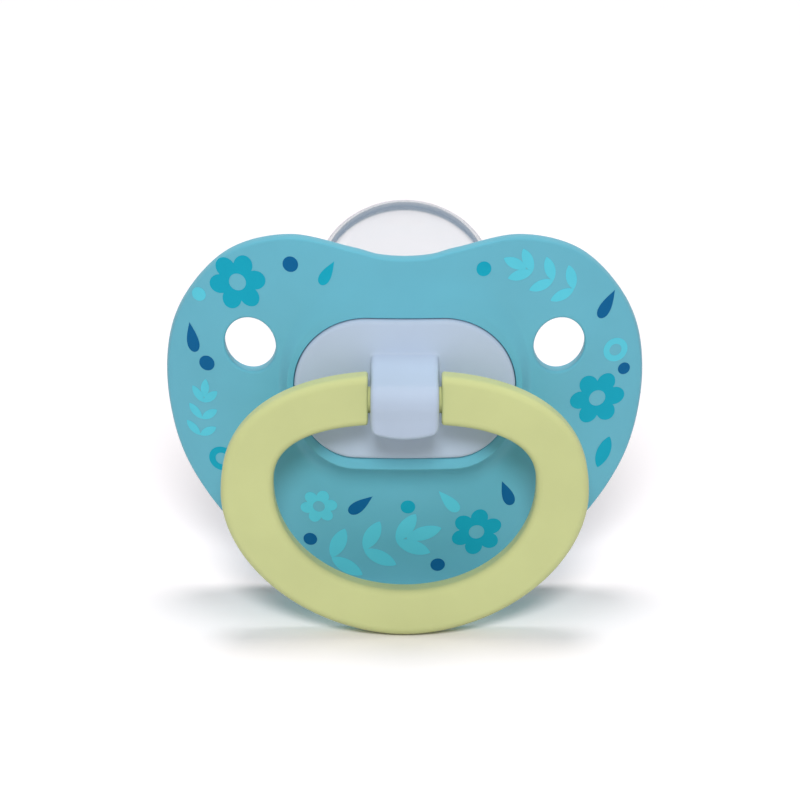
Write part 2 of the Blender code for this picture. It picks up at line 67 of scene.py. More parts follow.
# Shield: half of the butterfly outline in mm (x, z), from the top notch round to the bottom
SHIELD_OUTLINE = (
    (0.0, 15.65),
    (3.3, 15.88),
    (6.5, 16.65),
    (14.0, 17.8),
    (21.2, 15.5),
    (26.4, 9.9),
    (29.0, 3.3),
    (29.1, -5.0),
    (26.6, -13.4),
    (20.4, -21.5),
    (11.0, -27.0),
    (0.0, -28.85),
)
SHIELD_THICKNESS = 2.2 * MM
DOME_RADIUS_X = 60.0 * MM
DOME_RADIUS_Z = 120.0 * MM
RIM_RADIUS = 1.1 * MM
RIM_EDGE = 0.35 * MM
SHIELD_POINTS = 400
CURVE_STEPS = 48

# Rings of the shield's skin over each stretch of it; those of the slope bunch towards the ledge
LEDGE_SHARES = (0.3, 0.6, 0.9)
SLOPE_RINGS = 28
SLOPE_BUNCHING = 1.6
DOME_RINGS = 26
RIM_RINGS = 17
BACK_RINGS = 22
HUB_RINGS = 14

# Raised boss round the button, low and soft above it, tall with a crisp ledge and a hollow slope
# below it: (across, upright) widths of its ledge and of its slope
BOSS_TOP_HEIGHT = 0.4 * MM
BOSS_BOTTOM_HEIGHT = 1.9 * MM
BOSS_LEDGE = (0.75 * MM, 1.3 * MM)
BOSS_DISH = 0.3 * MM
BOSS_SLOPE = (1.2 * MM, 4.4 * MM)
BOSS_EDGE_SHARE = 0.04
BOSS_HOLLOW = 3.0

# Pocket for the button, and the hub round the teat's hole
POCKET_FLOOR = 0.5 * MM
POCKET_EDGE = 0.12 * MM
COUNTERBORE_RADIUS = 7.4 * MM
COUNTERBORE_FLOOR = 2.2 * MM
HOLE_RADIUS = 6.0 * MM
HUB_RADIUS = 9.2 * MM
HUB_FOOT_RADIUS = 12.0 * MM
HUB_BACK = 4.2 * MM
HUB_EDGE = 0.5 * MM

# Vents with rounded edges
VENT_HALF_WIDTH = 3.15 * MM
VENT_HALF_HEIGHT = 3.4 * MM
VENT_FILLET = 0.4 * MM
VENT_X = 18.9 * MM
VENT_Z = 3.9 * MM
VENT_CUT_MARGIN = 1.0 * MM
VENT_OVERCUT = 0.015 * MM
VENT_SIDES = 120

# Button: flat top and bottom edges with quarter-ellipse ends; its front heights are above the boss
BUTTON_HALF_WIDTH = 13.5 * MM
BUTTON_HALF_HEIGHT = 8.77 * MM
BUTTON_Z = -0.47 * MM
BUTTON_FLAT_TOP = 4.4 * MM
BUTTON_FLAT_BOTTOM = 6.1 * MM
BUTTON_CROWN = 0.95 * MM
BUTTON_RIM = 0.45 * MM
BUTTON_EDGE = 0.5 * MM
BUTTON_WALL = 1.3 * MM
BUTTON_BACK = POCKET_FLOOR - GAP
BUTTON_CEILING = -0.4 * MM
BUTTON_CEILING_RADIUS = 6.9 * MM
BUTTON_POINTS = 240
CROWN_RINGS = 15
EDGE_STEPS = 120
PEG_RADIUS = 2.2 * MM
PEG_TIP = 6.4 * MM

# Hinge lug on the button: its brow, waist and lip as (y, z, radius) in mm, seen from the pivot
LUG_CORNERS = ((-4.9, 2.4, 2.4), (-4.0, -1.4, 0.9), (-3.6, -3.95, 0.7))
LUG_HALF_WIDTH = 4.13 * MM
LUG_ROOT = -1.2 * MM
LUG_ROOT_TOP = 4.2 * MM
LUG_ROOT_BOTTOM = -4.6 * MM
LUG_CORNER_STEPS = 14
LUG_BOW = 0.9 * MM
LUG_FILLET = 0.75 * MM
BORE_RADIUS = 1.9 * MM
MELT_VOXEL = 0.16 * MM
MELT_ROUNDS = 10

# Ring: an open loop between two ovals, with a flat face and rounded edges; an oval's widest level
# lies below the pivot, and its halves have their own heights and fullness
RING_OUTER = {
    "half_width": 22.3 * MM,
    "level": 11.4 * MM,
    "above": 14.8 * MM,
    "below": 17.7 * MM,
    "upper_fullness": 2.4,
    "lower_fullness": 1.87,
}
RING_INNER = {
    "half_width": 15.9 * MM,
    "level": 10.3 * MM,
    "above": 7.55 * MM,
    "below": 13.15 * MM,
    "upper_fullness": 2.62,
    "lower_fullness": 2.03,
}
RING_THICKNESS = 4.1 * MM
RING_EDGE = 1.0 * MM
RING_END_X = 4.45 * MM
RING_END_EDGE = 0.35 * MM
RING_STATIONS = 110
RING_CORNER_STEPS = 9
RING_REST_ANGLE = math.radians(6.5)
STUB_RADIUS = 1.6 * MM
STUB_TIP_X = 1.2 * MM
STUB_ROOT_X = 7.0 * MM
ROUND_SIDES = 72

# Teat: a flange in the counterbore, a round neck, and a flattened bulb that points upwards
TEAT_WALL = 1.0 * MM
TEAT_FLANGE_RADIUS = 7.0 * MM
TEAT_FLANGE_BACK = COUNTERBORE_FLOOR - GAP
TEAT_ROOT_RADIUS = HOLE_RADIUS - GAP
TEAT_NECK_RADIUS = 5.0 * MM
TEAT_NECK_LENGTH = 7.0 * MM
TEAT_BEND_START = 2.3 * MM
TEAT_BEND_LENGTH = 8.5 * MM
TEAT_BEND_ANGLE = math.radians(41.5)
TEAT_BULB_CENTRE = 17.55 * MM
TEAT_LENGTH = 28.55 * MM
TEAT_BULB_HALF_WIDTH = 11.2 * MM
TEAT_BULB_ABOVE = 7.2 * MM
TEAT_BULB_BELOW = 5.8 * MM
TEAT_POINTS = 96
TEAT_STATIONS = 72

# Retaining plug
PLUG_HEAD_RADIUS = 6.4 * MM
PLUG_HEAD_BACK = TEAT_FLANGE_BACK - TEAT_WALL - GAP
PLUG_STEM_RADIUS = 4.1 * MM
PLUG_TIP_RADIUS = 3.4 * MM
PLUG_TIP = 7.0 * MM
PLUG_BORE_RADIUS = PEG_RADIUS + GAP
PLUG_EDGE = 0.25 * MM

# Print: a film of ink that stands just proud of the shield; widths, places and the flower's middle
# are shares of a motif's size, and a sprig's pairs of leaves are (place along the twig, spread in degrees)
INK_PROUD = 0.03 * MM
INK_SUNK = 0.05 * MM
INK_POINTS = 72
PETALS = 6
PETAL_ROOT = 0.66
PETAL_ROUNDNESS = 0.8
LEAF_WIDTH = 0.42
LEAF_POINT = 0.6
DROP_WIDTH = 0.55
DROP_POINT = 1.3
SPRIG_PAIRS = ((-0.5, 50.0), (-0.05, 46.0), (0.4, 40.0))
SPRIG_END = 0.78
SPRIG_LEAF = 0.24

# Finishes: colour, roughness and specular level of each plastic and ink
FINISHES = {
    "teal_plastic": ((0.14, 0.485, 0.62), 0.46, 0.4),
    "pale_blue_plastic": ((0.50, 0.60, 0.75), 0.52, 0.5),
    "yellow_green_plastic": ((0.615, 0.655, 0.305), 0.48, 0.3),
    "white_plastic": ((0.80, 0.82, 0.83), 0.45, 0.5),
    "print_pale_cyan": ((0.12, 0.66, 0.83), 0.5, 0.1),
    "print_turquoise": ((0.01, 0.41, 0.58), 0.5, 0.1),
    "print_dark_blue": ((0.005, 0.13, 0.33), 0.5, 0.1),
}

# Moulded plastic: how far its tone and gloss drift, its fine grain, and the light that it lets in;
# noise scales are per metre
TONE_SCALE = 110.0
TONE_DRIFT = 0.03
GLOSS_DRIFT = 0.05
GRAIN_SCALE = 5200.0
GRAIN_DEPTH = 0.01 * MM
GRAIN_STRENGTH = 0.10
PLASTIC_IOR = 1.49
GLOW_SHARE = 0.12
GLOW_DEPTH = 0.6 * MM

# Clear silicone: its haze, its tint seen face-on, and the painted blue-grey shade that darkens it where it
# is seen edge-on
HAZE_SCALE = 240.0
HAZE_ROUGHNESS = (0.03, 0.09)
SILICONE_IOR = 1.41
SILICONE_FACE = (0.93, 0.945, 0.955)
SILICONE_PAINTED_EDGE_SHADE = (0.10, 0.15, 0.22)

# Camera, placed from the photograph's view
CAMERA_ELEVATION = math.radians(20.0)
CAMERA_DISTANCE = 0.6
CAMERA_TARGET = Vector((-0.5776, -2.4575, -1.2569)) * MM
PIXELS_PER_METRE = 8224.0
IMAGE_PIXELS = 800
SENSOR_WIDTH = 36.0

# Studio: each lamp is (name, azimuth, elevation, width, power) in degrees, metres and watts, where
# azimuth 0 is the front; the floor and world have one value as light and another as they are seen
LAMP_DISTANCE = 2.5
LAMPS = (
    ("key", 0.0, 36.0, 0.65, 34.0),
    ("top", 180.0, 76.0, 0.9, 22.0),
    ("rear", 180.0, 30.0, 1.2, 3.0),
)
WORLD_LIGHT = 0.30
FLOOR_LIGHT = (0.72, 0.70, 0.70)
FLOOR_SEEN = (1.13, 1.085, 1.105)
FLOOR_SIZE = 3.0
WHITE = (1.0, 1.0, 1.0)
FAR_ROOM = (0.22, 0.30, 0.40)

SMOOTH_ANGLE = math.radians(40)


def as_mesh(name, shape):
    """Turns a bmesh into a mesh and frees it."""
    mesh = bpy.data.meshes.new(name)
    shape.to_mesh(mesh)
    shape.free()
    return mesh


def loft(name, rings, closed=False, first_pole=None, last_pole=None):
    """A skin over rings of equal point counts; closed joins the last ring to the first, and a
    pole closes an end with a fan."""
    shape = bmesh.new()
    loops = [[shape.verts.new(point) for point in ring] for ring in rings]
    pairs = list(zip(loops, loops[1:]))
    if closed:
        pairs.append((loops[-1], loops[0]))
    count = len(loops[0])
    for near, far in pairs:
        for i in range(count):
            j = (i + 1) % count
            shape.faces.new((near[i], near[j], far[j], far[i]))
    for pole, loop in ((first_pole, loops[0]), (last_pole, loops[-1])):
        if pole is not None:
            tip = shape.verts.new(pole)
            for i in range(count):
                shape.faces.new((loop[i], loop[(i + 1) % count], tip))
    bmesh.ops.recalc_face_normals(shape, faces=shape.faces)
    return as_mesh(name, shape)


def capped_loft(name, rings):
    """A skin over rings, whose ends are closed by fans from their middles."""
    first, last = (sum(ring, Vector()) / len(ring) for ring in (rings[0], rings[-1]))
    return loft(name, rings, first_pole=first, last_pole=last)


def add_object(name, mesh, location=AXIS):
    thing = bpy.data.objects.new(name, mesh)
    bpy.context.scene.collection.objects.link(thing)
    thing.location = location
    return thing


def boolean(target, tool, operation):
    modifier = target.modifiers.new(operation.lower(), "BOOLEAN")
    modifier.operation = operation
    modifier.object = tool
    modifier.solver = "EXACT"


def bake(thing, tools=()):
    """Applies a piece's modifiers and removes the tools that they used."""
    bpy.context.view_layer.update()
    graph = bpy.context.evaluated_depsgraph_get()
    mesh = bpy.data.meshes.new_from_object(thing.evaluated_get(graph))
    thing.modifiers.clear()
    thing.data = mesh
    for tool in tools:
        bpy.data.objects.remove(tool)


def dress(thing, material, body, node=None):
    """Shades a piece smooth, gives it its finish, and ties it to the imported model."""
    thing.data.materials.clear()
    thing.data.materials.append(material)
    thing.data.shade_smooth()
    thing.data.set_sharp_from_angle(angle=SMOOTH_ANGLE)
    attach(thing, body)
    if node:
        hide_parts(node)


def mirrored_spline(half, steps):
    """A smooth closed curve (Catmull-Rom) through a half outline and its mirror image in X."""
    right = [np.array(point) for point in half]
    left = [np.array((-x, z)) for x, z in half[-2:0:-1]]
    knots = right + left
    count = len(knots)
    curve = []
    for i in range(count):
        before, start, end, after = (knots[(i + k) % count] for k in (-1, 0, 1, 2))
        for step in range(steps):
            t = step / steps
            curve.append(
                start
                + 0.5 * t * (end - before)
                + t * t * (before - 2.5 * start + 2 * end - 0.5 * after)
                + t * t * t * (1.5 * (start - end) + 0.5 * (after - before))
            )
    return np.array(curve)


def polar_radius(outline, angles):
    """Distance from the centre to a star-shaped closed outline, at each angle."""
    around = np.arctan2(outline[:, 1], outline[:, 0])
    order = np.argsort(around)
    reach = np.hypot(outline[:, 0], outline[:, 1])
    return np.interp(angles, around[order], reach[order], period=2 * math.pi)


def even_angles(outline, count):
    """Angles of points spaced evenly along an outline, from its lowest point."""
    closed = np.vstack([outline, outline[:1]])
    run = np.concatenate([[0.0], np.cumsum(np.hypot(*np.diff(closed, axis=0).T))])
    lowest = run[np.argmin(outline[:, 1])]
    places = (lowest + np.arange(count) / count * run[-1]) % run[-1]
    return np.arctan2(np.interp(places, run, closed[:, 1]), np.interp(places, run, closed[:, 0]))


def button_outline(across, upright):
    """The button's outline, grown sideways and upwards: straight edges and elliptic ends."""
    turn = np.linspace(0.0, math.pi / 2, EDGE_STEPS)
    height = BUTTON_HALF_HEIGHT + upright
    halves = []
    for flat in (BUTTON_FLAT_TOP, BUTTON_FLAT_BOTTOM):
        end_x = flat + (BUTTON_HALF_WIDTH - flat + across) * np.cos(turn)
        flat_x = np.linspace(flat, -flat, EDGE_STEPS)[1:-1]
        half_x = np.concatenate([end_x, flat_x, -end_x[::-1]])
        half_z = height * np.concatenate([np.sin(turn), np.ones_like(flat_x), np.sin(turn[::-1])])
        halves.append(np.column_stack([half_x, half_z]))
    upper, lower = halves
    return np.vstack([upper, -lower[1:-1]]) + (0.0, BUTTON_Z)


def dome(x, z):
    return x * x / (2 * DOME_RADIUS_X) + z * z / (2 * DOME_RADIUS_Z)


def behind(offset):
    """A depth that follows the dome at a distance behind it."""
    return lambda x, z: dome(x, z) + offset


def lowness(z):
    """0 along the top edge of the boss and 1 along its bottom edge."""
    reach = BUTTON_HALF_HEIGHT + BOSS_LEDGE[1]
    return np.clip(0.5 - (z - BUTTON_Z) / (2 * reach), 0.0, 1.0)


def boss_height(z):
    return BOSS_TOP_HEIGHT + (BOSS_BOTTOM_HEIGHT - BOSS_TOP_HEIGHT) * lowness(z)


def before_boss(offset, dish=0.0):
    """A depth that follows the boss's edge at a distance in front of it, less a share of its dish."""
    return lambda x, z: dome(x, z) - boss_height(z) + dish * BOSS_DISH * lowness(z) - offset


def ease(share):
    """A smooth step from 0 to 1."""
    return share * share * (3 - 2 * share)


def boss_slope(share):
    """Depth of the boss's slope: an even curve above the button, crisp and hollow below it."""
    even = 1 - ease(share)
    soft = math.hypot(1.0, BOSS_EDGE_SHARE) - BOSS_EDGE_SHARE
    fall = (math.hypot(share, BOSS_EDGE_SHARE) - BOSS_EDGE_SHARE) / soft
    hollow = (1 - fall) ** BOSS_HOLLOW

    def depth(x, z):
        low = lowness(z)
        return dome(x, z) - boss_height(z) * (even + low * (hollow - even))

    return depth


def hub_slope(share):
    """Depth of the slope from the back of the plate to the hub's edge."""
    rise = ease(share)
    back = HUB_BACK - HUB_EDGE
    return lambda x, z: (1 - rise) * (dome(x, z) + SHIELD_THICKNESS) + rise * back


def polar_ring(angles, radius, depth):
    """Points at one radius, or one for each angle; depth is a number or a function of x and z."""
    x = radius * np.cos(angles)
    z = radius * np.sin(angles)
    y = depth(x, z) if callable(depth) else np.full_like(x, depth)
    return [Vector(point) for point in np.column_stack([x, y, z])]


def quarter(steps):
    """Turns from 0 to 90 degrees."""
    return np.linspace(0.0, math.pi / 2, steps + 1)


def shield_mesh():
    """One closed skin: up the pocket, over the boss and dome, round the rim and back to the hub."""
    outline = mirrored_spline(SHIELD_OUTLINE, CURVE_STEPS) * MM
    angles = even_angles(outline, SHIELD_POINTS)
    edge = polar_radius(outline, angles)

    def near_button(ledge, slope, inset=0.0):
        across, upright = (
            PARTING - inset + ledge * BOSS_LEDGE[i] + slope * BOSS_SLOPE[i] for i in (0, 1)
        )
        return polar_radius(button_outline(across, upright), angles)

    skin = [
        (HOLE_RADIUS, COUNTERBORE_FLOOR),
        (COUNTERBORE_RADIUS, COUNTERBORE_FLOOR),
        (COUNTERBORE_RADIUS, behind(POCKET_FLOOR)),
        (near_button(0, 0), behind(POCKET_FLOOR)),
    ]
    for turn in quarter(steps=4):
        inset = -POCKET_EDGE * (1 - math.cos(turn))
        drop = POCKET_EDGE * (1 - math.sin(turn))
        skin.append((near_button(0, 0, inset), before_boss(-drop, 1)))
    for share in LEDGE_SHARES:
        skin.append((near_button(share, 0), before_boss(0.0, 1 - share)))
    for share in np.linspace(0.0, 1.0, SLOPE_RINGS) ** SLOPE_BUNCHING:
        skin.append((near_button(1, share), boss_slope(share)))
    foot = near_button(1, 1)
    front_rim = edge - RIM_EDGE
    back_rim = edge - RIM_RADIUS
    for share in np.linspace(0.0, 1.0, DOME_RINGS)[1:]:
        skin.append((foot + share * (front_rim - foot), dome))
    for turn in np.linspace(0.0, math.pi, RIM_RINGS)[1:-1]:
        width = RIM_EDGE if turn < math.pi / 2 else RIM_RADIUS
        drop = RIM_RADIUS * (1 - math.cos(turn))
        skin.append((edge - width * (1 - math.sin(turn)), behind(drop)))
    for share in np.linspace(1.0, 0.0, BACK_RINGS):
        radius = HUB_FOOT_RADIUS + share * (back_rim - HUB_FOOT_RADIUS)
        skin.append((radius, behind(SHIELD_THICKNESS)))
    for share in np.linspace(0.0, 1.0, HUB_RINGS)[1:]:
        radius = HUB_FOOT_RADIUS + share * (HUB_RADIUS + HUB_EDGE - HUB_FOOT_RADIUS)
        skin.append((radius, hub_slope(share)))
    for turn in quarter(steps=5)[1:]:
        radius = HUB_RADIUS + HUB_EDGE * math.cos(turn)
        skin.append((radius, HUB_BACK - HUB_EDGE * (1 - math.sin(turn))))
    for turn in quarter(steps=5)[::-1]:
        radius = HOLE_RADIUS + HUB_EDGE * (1 - math.cos(turn))
        skin.append((radius, HUB_BACK - HUB_EDGE * (1 - math.sin(turn))))
    rings = [polar_ring(angles, radius, depth) for radius, depth in skin]
    return loft("shield_skin", rings, closed=True)


def vent_cutter_mesh(side):
    """A throat along Y whose mouths flare to follow the dome in front and behind."""
    front = [(VENT_FILLET, -VENT_CUT_MARGIN)]
    for turn in quarter(steps=10):
        drop = VENT_FILLET * (1 - math.cos(turn)) - VENT_OVERCUT
        front.append((VENT_FILLET * (1 - math.sin(turn)), drop))
    back = [(grow, SHIELD_THICKNESS - drop) for grow, drop in reversed(front)]
    around = np.linspace(0.0, 2 * math.pi, VENT_SIDES, endpoint=False)
    rings = []
    for grow, drop in front + back:
        x = side * VENT_X + (VENT_HALF_WIDTH + grow) * np.cos(around)
        z = VENT_Z + (VENT_HALF_HEIGHT + grow) * np.sin(around)
        rings.append([Vector(point) for point in np.column_stack([x, dome(x, z) + drop, z])])
    return capped_loft("vent_cutter", rings)


def make_shield():
    shield = add_object("shield_skin", shield_mesh())
    vents = [add_object("vent_cutter", vent_cutter_mesh(side)) for side in (-1, 1)]
    for vent in vents:
        boolean(shield, vent, "DIFFERENCE")
    bake(shield, vents)
    return shield


def teat_centre(run):
    """Middle of the teat at a distance along it, and its upward slope there."""
    turned = min(max(run - TEAT_BEND_START, 0.0), TEAT_BEND_LENGTH)
    slope = TEAT_BEND_ANGLE * turned / TEAT_BEND_LENGTH
    radius = TEAT_BEND_LENGTH / TEAT_BEND_ANGLE
    straight = max(run - TEAT_BEND_START - TEAT_BEND_LENGTH, 0.0)
    y = min(run, TEAT_BEND_START) + radius * math.sin(slope) + straight * math.cos(slope)
    z = radius * (1 - math.cos(slope)) + straight * math.sin(slope)
    return TEAT_FLANGE_BACK + y, z, slope


def teat_half_size(run, bulb):
    """Half size of the teat across one direction: tapered neck, swelling bulb, elliptic tip."""
    if run >= TEAT_BULB_CENTRE:
        share = (run - TEAT_BULB_CENTRE) / (TEAT_LENGTH - TEAT_BULB_CENTRE)
        return bulb * math.sqrt(max(1 - share * share, 0.0))
    if run <= TEAT_NECK_LENGTH:
        return TEAT_ROOT_RADIUS + (TEAT_NECK_RADIUS - TEAT_ROOT_RADIUS) * run / TEAT_NECK_LENGTH
    share = (run - TEAT_NECK_LENGTH) / (TEAT_BULB_CENTRE - TEAT_NECK_LENGTH)
    return TEAT_NECK_RADIUS + (bulb - TEAT_NECK_RADIUS) * math.sin(share * math.pi / 2) ** 2


def teat_mesh():
    """The teat's outer skin, open at the flange, to be thickened inwards."""
    around = np.linspace(0.0, 2 * math.pi, TEAT_POINTS, endpoint=False)
    rings = [polar_ring(around, TEAT_FLANGE_RADIUS, TEAT_FLANGE_BACK)]
    runs = [TEAT_LENGTH * math.sin(k / TEAT_STATIONS * math.pi / 2) for k in range(TEAT_STATIONS)]
    for run in runs:
        y, z, slope = teat_centre(run)
        width = teat_half_size(run, TEAT_BULB_HALF_WIDTH)
        above = teat_half_size(run, TEAT_BULB_ABOVE)
        below = teat_half_size(run, TEAT_BULB_BELOW)
        ring = []
        for angle in around:
            x = width * math.cos(angle)
            lift = math.sin(angle) * (above if angle < math.pi else below)
            ring.append(Vector((x, y - lift * math.sin(slope), z + lift * math.cos(slope))))
        rings.append(ring)
    tip_y, tip_z, _ = teat_centre(TEAT_LENGTH)
    return loft("teat_skin", rings, last_pole=Vector((0.0, tip_y, tip_z)))


def make_teat():
    teat = add_object("teat_skin", teat_mesh())
    wall = teat.modifiers.new("wall", "SOLIDIFY")
    wall.thickness = TEAT_WALL
    wall.offset = -1.0
    wall.use_even_offset = True
    bake(teat)
    return teat


def make_plug():
    """Turned about the plug axis: from the bore, round the head and stem to the tip."""
    profile = [
        (PLUG_BORE_RADIUS, PLUG_EDGE),
        (PLUG_BORE_RADIUS + PLUG_EDGE, 0.0),
        (PLUG_HEAD_RADIUS - PLUG_EDGE, 0.0),
        (PLUG_HEAD_RADIUS, PLUG_EDGE),
        (PLUG_HEAD_RADIUS, PLUG_HEAD_BACK),
        (PLUG_STEM_RADIUS, PLUG_HEAD_BACK),
        (PLUG_STEM_RADIUS, PLUG_HEAD_BACK + 3 * PLUG_EDGE),
        (PLUG_TIP_RADIUS, PLUG_TIP - PLUG_EDGE),
        (PLUG_TIP_RADIUS - PLUG_EDGE, PLUG_TIP),
        (PLUG_BORE_RADIUS, PLUG_TIP),
    ]
    around = np.linspace(0.0, 2 * math.pi, ROUND_SIDES, endpoint=False)
    rings = [polar_ring(around, radius, depth) for radius, depth in profile]
    return add_object("retaining_plug_skin", loft("retaining_plug_skin", rings, closed=True))


def button_mesh():
    """The cap from its crowned front, over the rim, up inside and down the peg to its tip."""
    angles = even_angles(button_outline(0.0, 0.0), BUTTON_POINTS)

    def outline(offset):
        return polar_radius(button_outline(offset, offset), angles)

    face = outline(-BUTTON_EDGE)
    inside = outline(-BUTTON_WALL)
    crown = BUTTON_CROWN - BUTTON_RIM
    skin = []
    for share in np.linspace(0.0, 1.0, CROWN_RINGS)[1:]:
        skin.append((face * share, before_boss(BUTTON_CROWN - crown * share * share)))
    for turn in quarter(steps=6)[1:]:
        inset = BUTTON_EDGE * (1 - math.sin(turn))
        skin.append((outline(-inset), before_boss(BUTTON_RIM - BUTTON_EDGE * (1 - math.cos(turn)))))
    skin += [
        (outline(0.0), behind(BUTTON_BACK)),
        (inside, behind(BUTTON_BACK)),
        (inside, behind(BUTTON_CEILING)),
        (BUTTON_CEILING_RADIUS, BUTTON_CEILING),
        (PEG_RADIUS, BUTTON_CEILING),
        (PEG_RADIUS, PEG_TIP - BUTTON_EDGE),
        (PEG_RADIUS - BUTTON_EDGE, PEG_TIP),
    ]
    rings = [polar_ring(angles, radius, depth) for radius, depth in skin]
    front = Vector((0.0, before_boss(BUTTON_CROWN)(0.0, 0.0), 0.0))
    return loft("button_skin", rings, first_pole=front, last_pole=Vector((0.0, PEG_TIP, 0.0)))


def rounded_corner(before, corner, after, radius, steps):
    """Points of an arc that replaces a corner of a profile."""
    into = (before - corner) / np.linalg.norm(before - corner)
    out = (after - corner) / np.linalg.norm(after - corner)
    half = math.acos(float(into @ out)) / 2
    centre = corner + (into + out) / np.linalg.norm(into + out) * radius / math.sin(half)
    start = corner + into * radius / math.tan(half) - centre
    end = corner + out * radius / math.tan(half) - centre
    chord = [start * (1 - t) + end * t for t in np.linspace(0.0, 1.0, steps)]
    return [centre + point / np.linalg.norm(point) * radius for point in chord]


def lug_profile():
    """The lug's outline in (y, z) from the pivot: down its brow to its waist and lip."""
    root = LUG_ROOT - PIVOT.y
    top = np.array((root, LUG_ROOT_TOP))
    bottom = np.array((root, LUG_ROOT_BOTTOM))
    path = [top, *(np.array((y, z)) * MM for y, z, _ in LUG_CORNERS), bottom]
    profile = [top]
    for i, (_, _, radius) in enumerate(LUG_CORNERS):
        profile += rounded_corner(*path[i : i + 3], radius * MM, LUG_CORNER_STEPS)
    return profile + [bottom]


def lug_mesh():
    """The profile along X, with rounded edges at both ends and a bowed lower edge."""
    reach = LUG_HALF_WIDTH - LUG_FILLET
    right = [(reach * share, 0.0) for share in np.linspace(0.0, 0.9, 10)]
    for turn in quarter(steps=8):
        right.append((reach + LUG_FILLET * math.sin(turn), LUG_FILLET * (1 - math.cos(turn))))
    stations = [(-x, inset) for x, inset in reversed(right[1:])] + right
    rings = []
    for x, inset in stations:
        shrink = 1 - inset / LUG_ROOT_TOP
        raised = LUG_BOW * (x / LUG_HALF_WIDTH) ** 2
        ring = []
        for y, z in lug_profile():
            low = min(max(z / LUG_ROOT_BOTTOM, 0.0), 1.0)
            ring.append(PIVOT + Vector((x, y * shrink, z * shrink + raised * low)))
        rings.append(ring)
    return capped_loft("hinge_lug", rings)


def rod(name, radius, length, location):
    """A helper cylinder along X."""
    shape = bmesh.new()
    bmesh.ops.create_cone(
        shape, cap_ends=True, segments=ROUND_SIDES, radius1=radius, radius2=radius, depth=length
    )
    mesh = as_mesh(name, shape)
    mesh.transform(Matrix.Rotation(math.pi / 2, 4, "Y"))
    return add_object(name, mesh, location)


def make_button():
    """Cap and lug in one moulding, whose inner and outer corners are softened by a fine remesh."""
    button = add_object("button_skin", button_mesh())
    lug = add_object("hinge_lug", lug_mesh())
    bore = rod("bore", BORE_RADIUS, 3 * LUG_HALF_WIDTH, AXIS + PIVOT)
    boolean(button, lug, "UNION")
    boolean(button, bore, "DIFFERENCE")
    melt = button.modifiers.new("melt", "REMESH")
    melt.mode = "VOXEL"
    melt.voxel_size = MELT_VOXEL
    soften = button.modifiers.new("soften", "SMOOTH")
    soften.iterations = MELT_ROUNDS
    bake(button, (lug, bore))
    return button


def oval_point(oval, turn):
    """A point on one of the ring's ovals; the turn is -90 degrees at the bottom."""
    upper = turn > 0
    power = 2 / oval["upper_fullness" if upper else "lower_fullness"]
    rise = abs(math.sin(turn)) ** power
    x = oval["half_width"] * abs(math.cos(turn)) ** power
    z = oval["above"] * rise if upper else -oval["below"] * rise
    return Vector((x, 0.0, z - oval["level"]))


def oval_end(oval):
    share = (RING_END_X + RING_END_EDGE) / oval["half_width"]
    return math.acos(share ** (oval["upper_fullness"] / 2))


def rounded_section(inner, outer, inset):
    """A rounded rectangle from the inner to the outer oval, flat in front and behind."""
    middle = (inner + outer) / 2
    across = (outer - inner).normalized()
    half = (outer - inner).length / 2 - RING_EDGE
    deep = RING_THICKNESS / 2 - RING_EDGE
    radius = RING_EDGE - inset
    section = []
    for corner in range(4):
        side = 1 if corner in (0, 3) else -1
        face = 1 if corner in (0, 1) else -1
        for step in quarter(RING_CORNER_STEPS):
            turn = corner * math.pi / 2 + step
            along = side * half + radius * math.cos(turn)
            depth = face * deep + radius * math.sin(turn)
            section.append(middle + across * along + Vector((0.0, depth, 0.0)))
    return section


def ring_mesh():
    """The open ring in its own frame: the pivot at the origin, the loop hanging along -Z."""
    low = -math.pi / 2
    half = []
    for k in range(RING_STATIONS):
        share = (k + 0.5) / (RING_STATIONS - 0.5)
        inner = oval_point(RING_INNER, low + share * (oval_end(RING_INNER) - low))
        outer = oval_point(RING_OUTER, low + share * (oval_end(RING_OUTER) - low))
        half.append((inner, outer, 0.0))
    inner, outer, _ = half[-1]
    for turn in quarter(steps=6)[1:]:
        step = Vector((-RING_END_EDGE * math.sin(turn), 0.0, 0.0))
        half.append((inner + step, outer + step, RING_END_EDGE * (1 - math.cos(turn))))
    right = [rounded_section(*station) for station in half]
    left = [[Vector((-point.x, point.y, point.z)) for point in section] for section in right]
    return capped_loft("ring_skin", left[::-1] + right)


def make_ring():
    mesh = ring_mesh()
    mesh.transform(Matrix.Rotation(-RING_REST_ANGLE, 4, "X"))
    ring = add_object("ring_skin", mesh, AXIS + PIVOT)
    stubs = []
    for side in (-1, 1):
        middle = Vector((side * (STUB_ROOT_X + STUB_TIP_X) / 2, 0.0, 0.0))
        stubs.append(rod("stub", STUB_RADIUS, STUB_ROOT_X - STUB_TIP_X, AXIS + PIVOT + middle))
        boolean(ring, stubs[-1], "UNION")
    bake(ring, stubs)
    return ring


def link(tree, source, socket, target, name):
    tree.links.new(source.outputs[socket], target.inputs[name])


def new_material(name):
    """A material with its node tree and its main shader."""
    material = bpy.data.materials.new(name)
    material.use_nodes = True
    tree = material.node_tree
    return material, tree, tree.nodes["Principled BSDF"]


def noise(tree, scale, detail):
    """A noise that is fixed to the piece."""
    place = tree.nodes.new("ShaderNodeTexCoord")
    texture = tree.nodes.new("ShaderNodeTexNoise")
    texture.inputs["Scale"].default_value = scale
    texture.inputs["Detail"].default_value = detail
    link(tree, place, "Object", texture, "Vector")
    return texture


def colour_ramp(tree, *stops):
    """A ramp between two colours; a stop is (position, colour)."""
    ramp = tree.nodes.new("ShaderNodeValToRGB")
    for element, (position, colour) in zip(ramp.color_ramp.elements, stops):
        element.position = position
        element.color = (*colour, 1.0)
    return ramp


